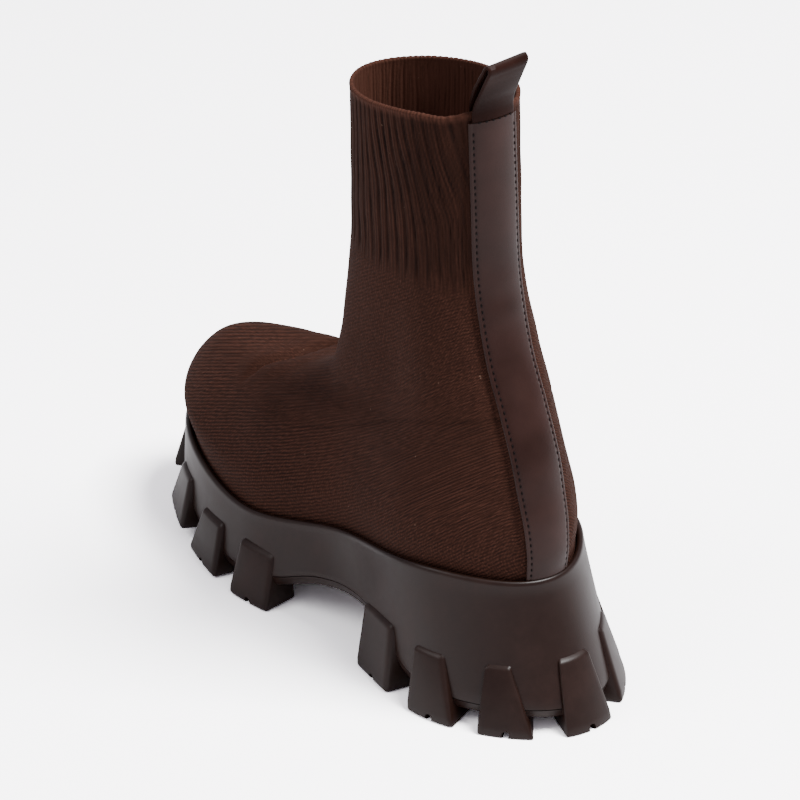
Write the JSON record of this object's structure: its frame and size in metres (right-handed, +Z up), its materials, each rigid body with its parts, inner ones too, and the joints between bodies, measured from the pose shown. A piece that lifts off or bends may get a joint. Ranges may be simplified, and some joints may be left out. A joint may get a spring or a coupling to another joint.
{
  "type": "sock boot",
  "caption": "Left sock boot with a tall ribbed knit upper, a back strip and pull loop, and a thick moulded lug sole with a block heel.",
  "frame": {"origin": "on the floor under the middle of the heel, at the foot of the heel's middle tread pad", "axes": "+X to the outer side of the left foot, +Y from toe to heel, +Z up; the toe points to -Y"},
  "size_m": [0.1071, 0.2766, 0.2706],
  "materials": {
    "sole_rubber": "semi-matte moulded rubber, dark brown",
    "knit": "ribbed and plain knitted polyester, dark brown",
    "insole_cloth": "plain cloth, dark brown",
    "strip_leather": "semi-gloss coated leather, dark brown"
  },
  "bodies": {
    "root": {"sole": "sole_rubber", "upper": "knit", "insole": "insole_cloth", "backstay": "strip_leather", "pull_loop": "strip_leather"}
  },
  "joints": []
}
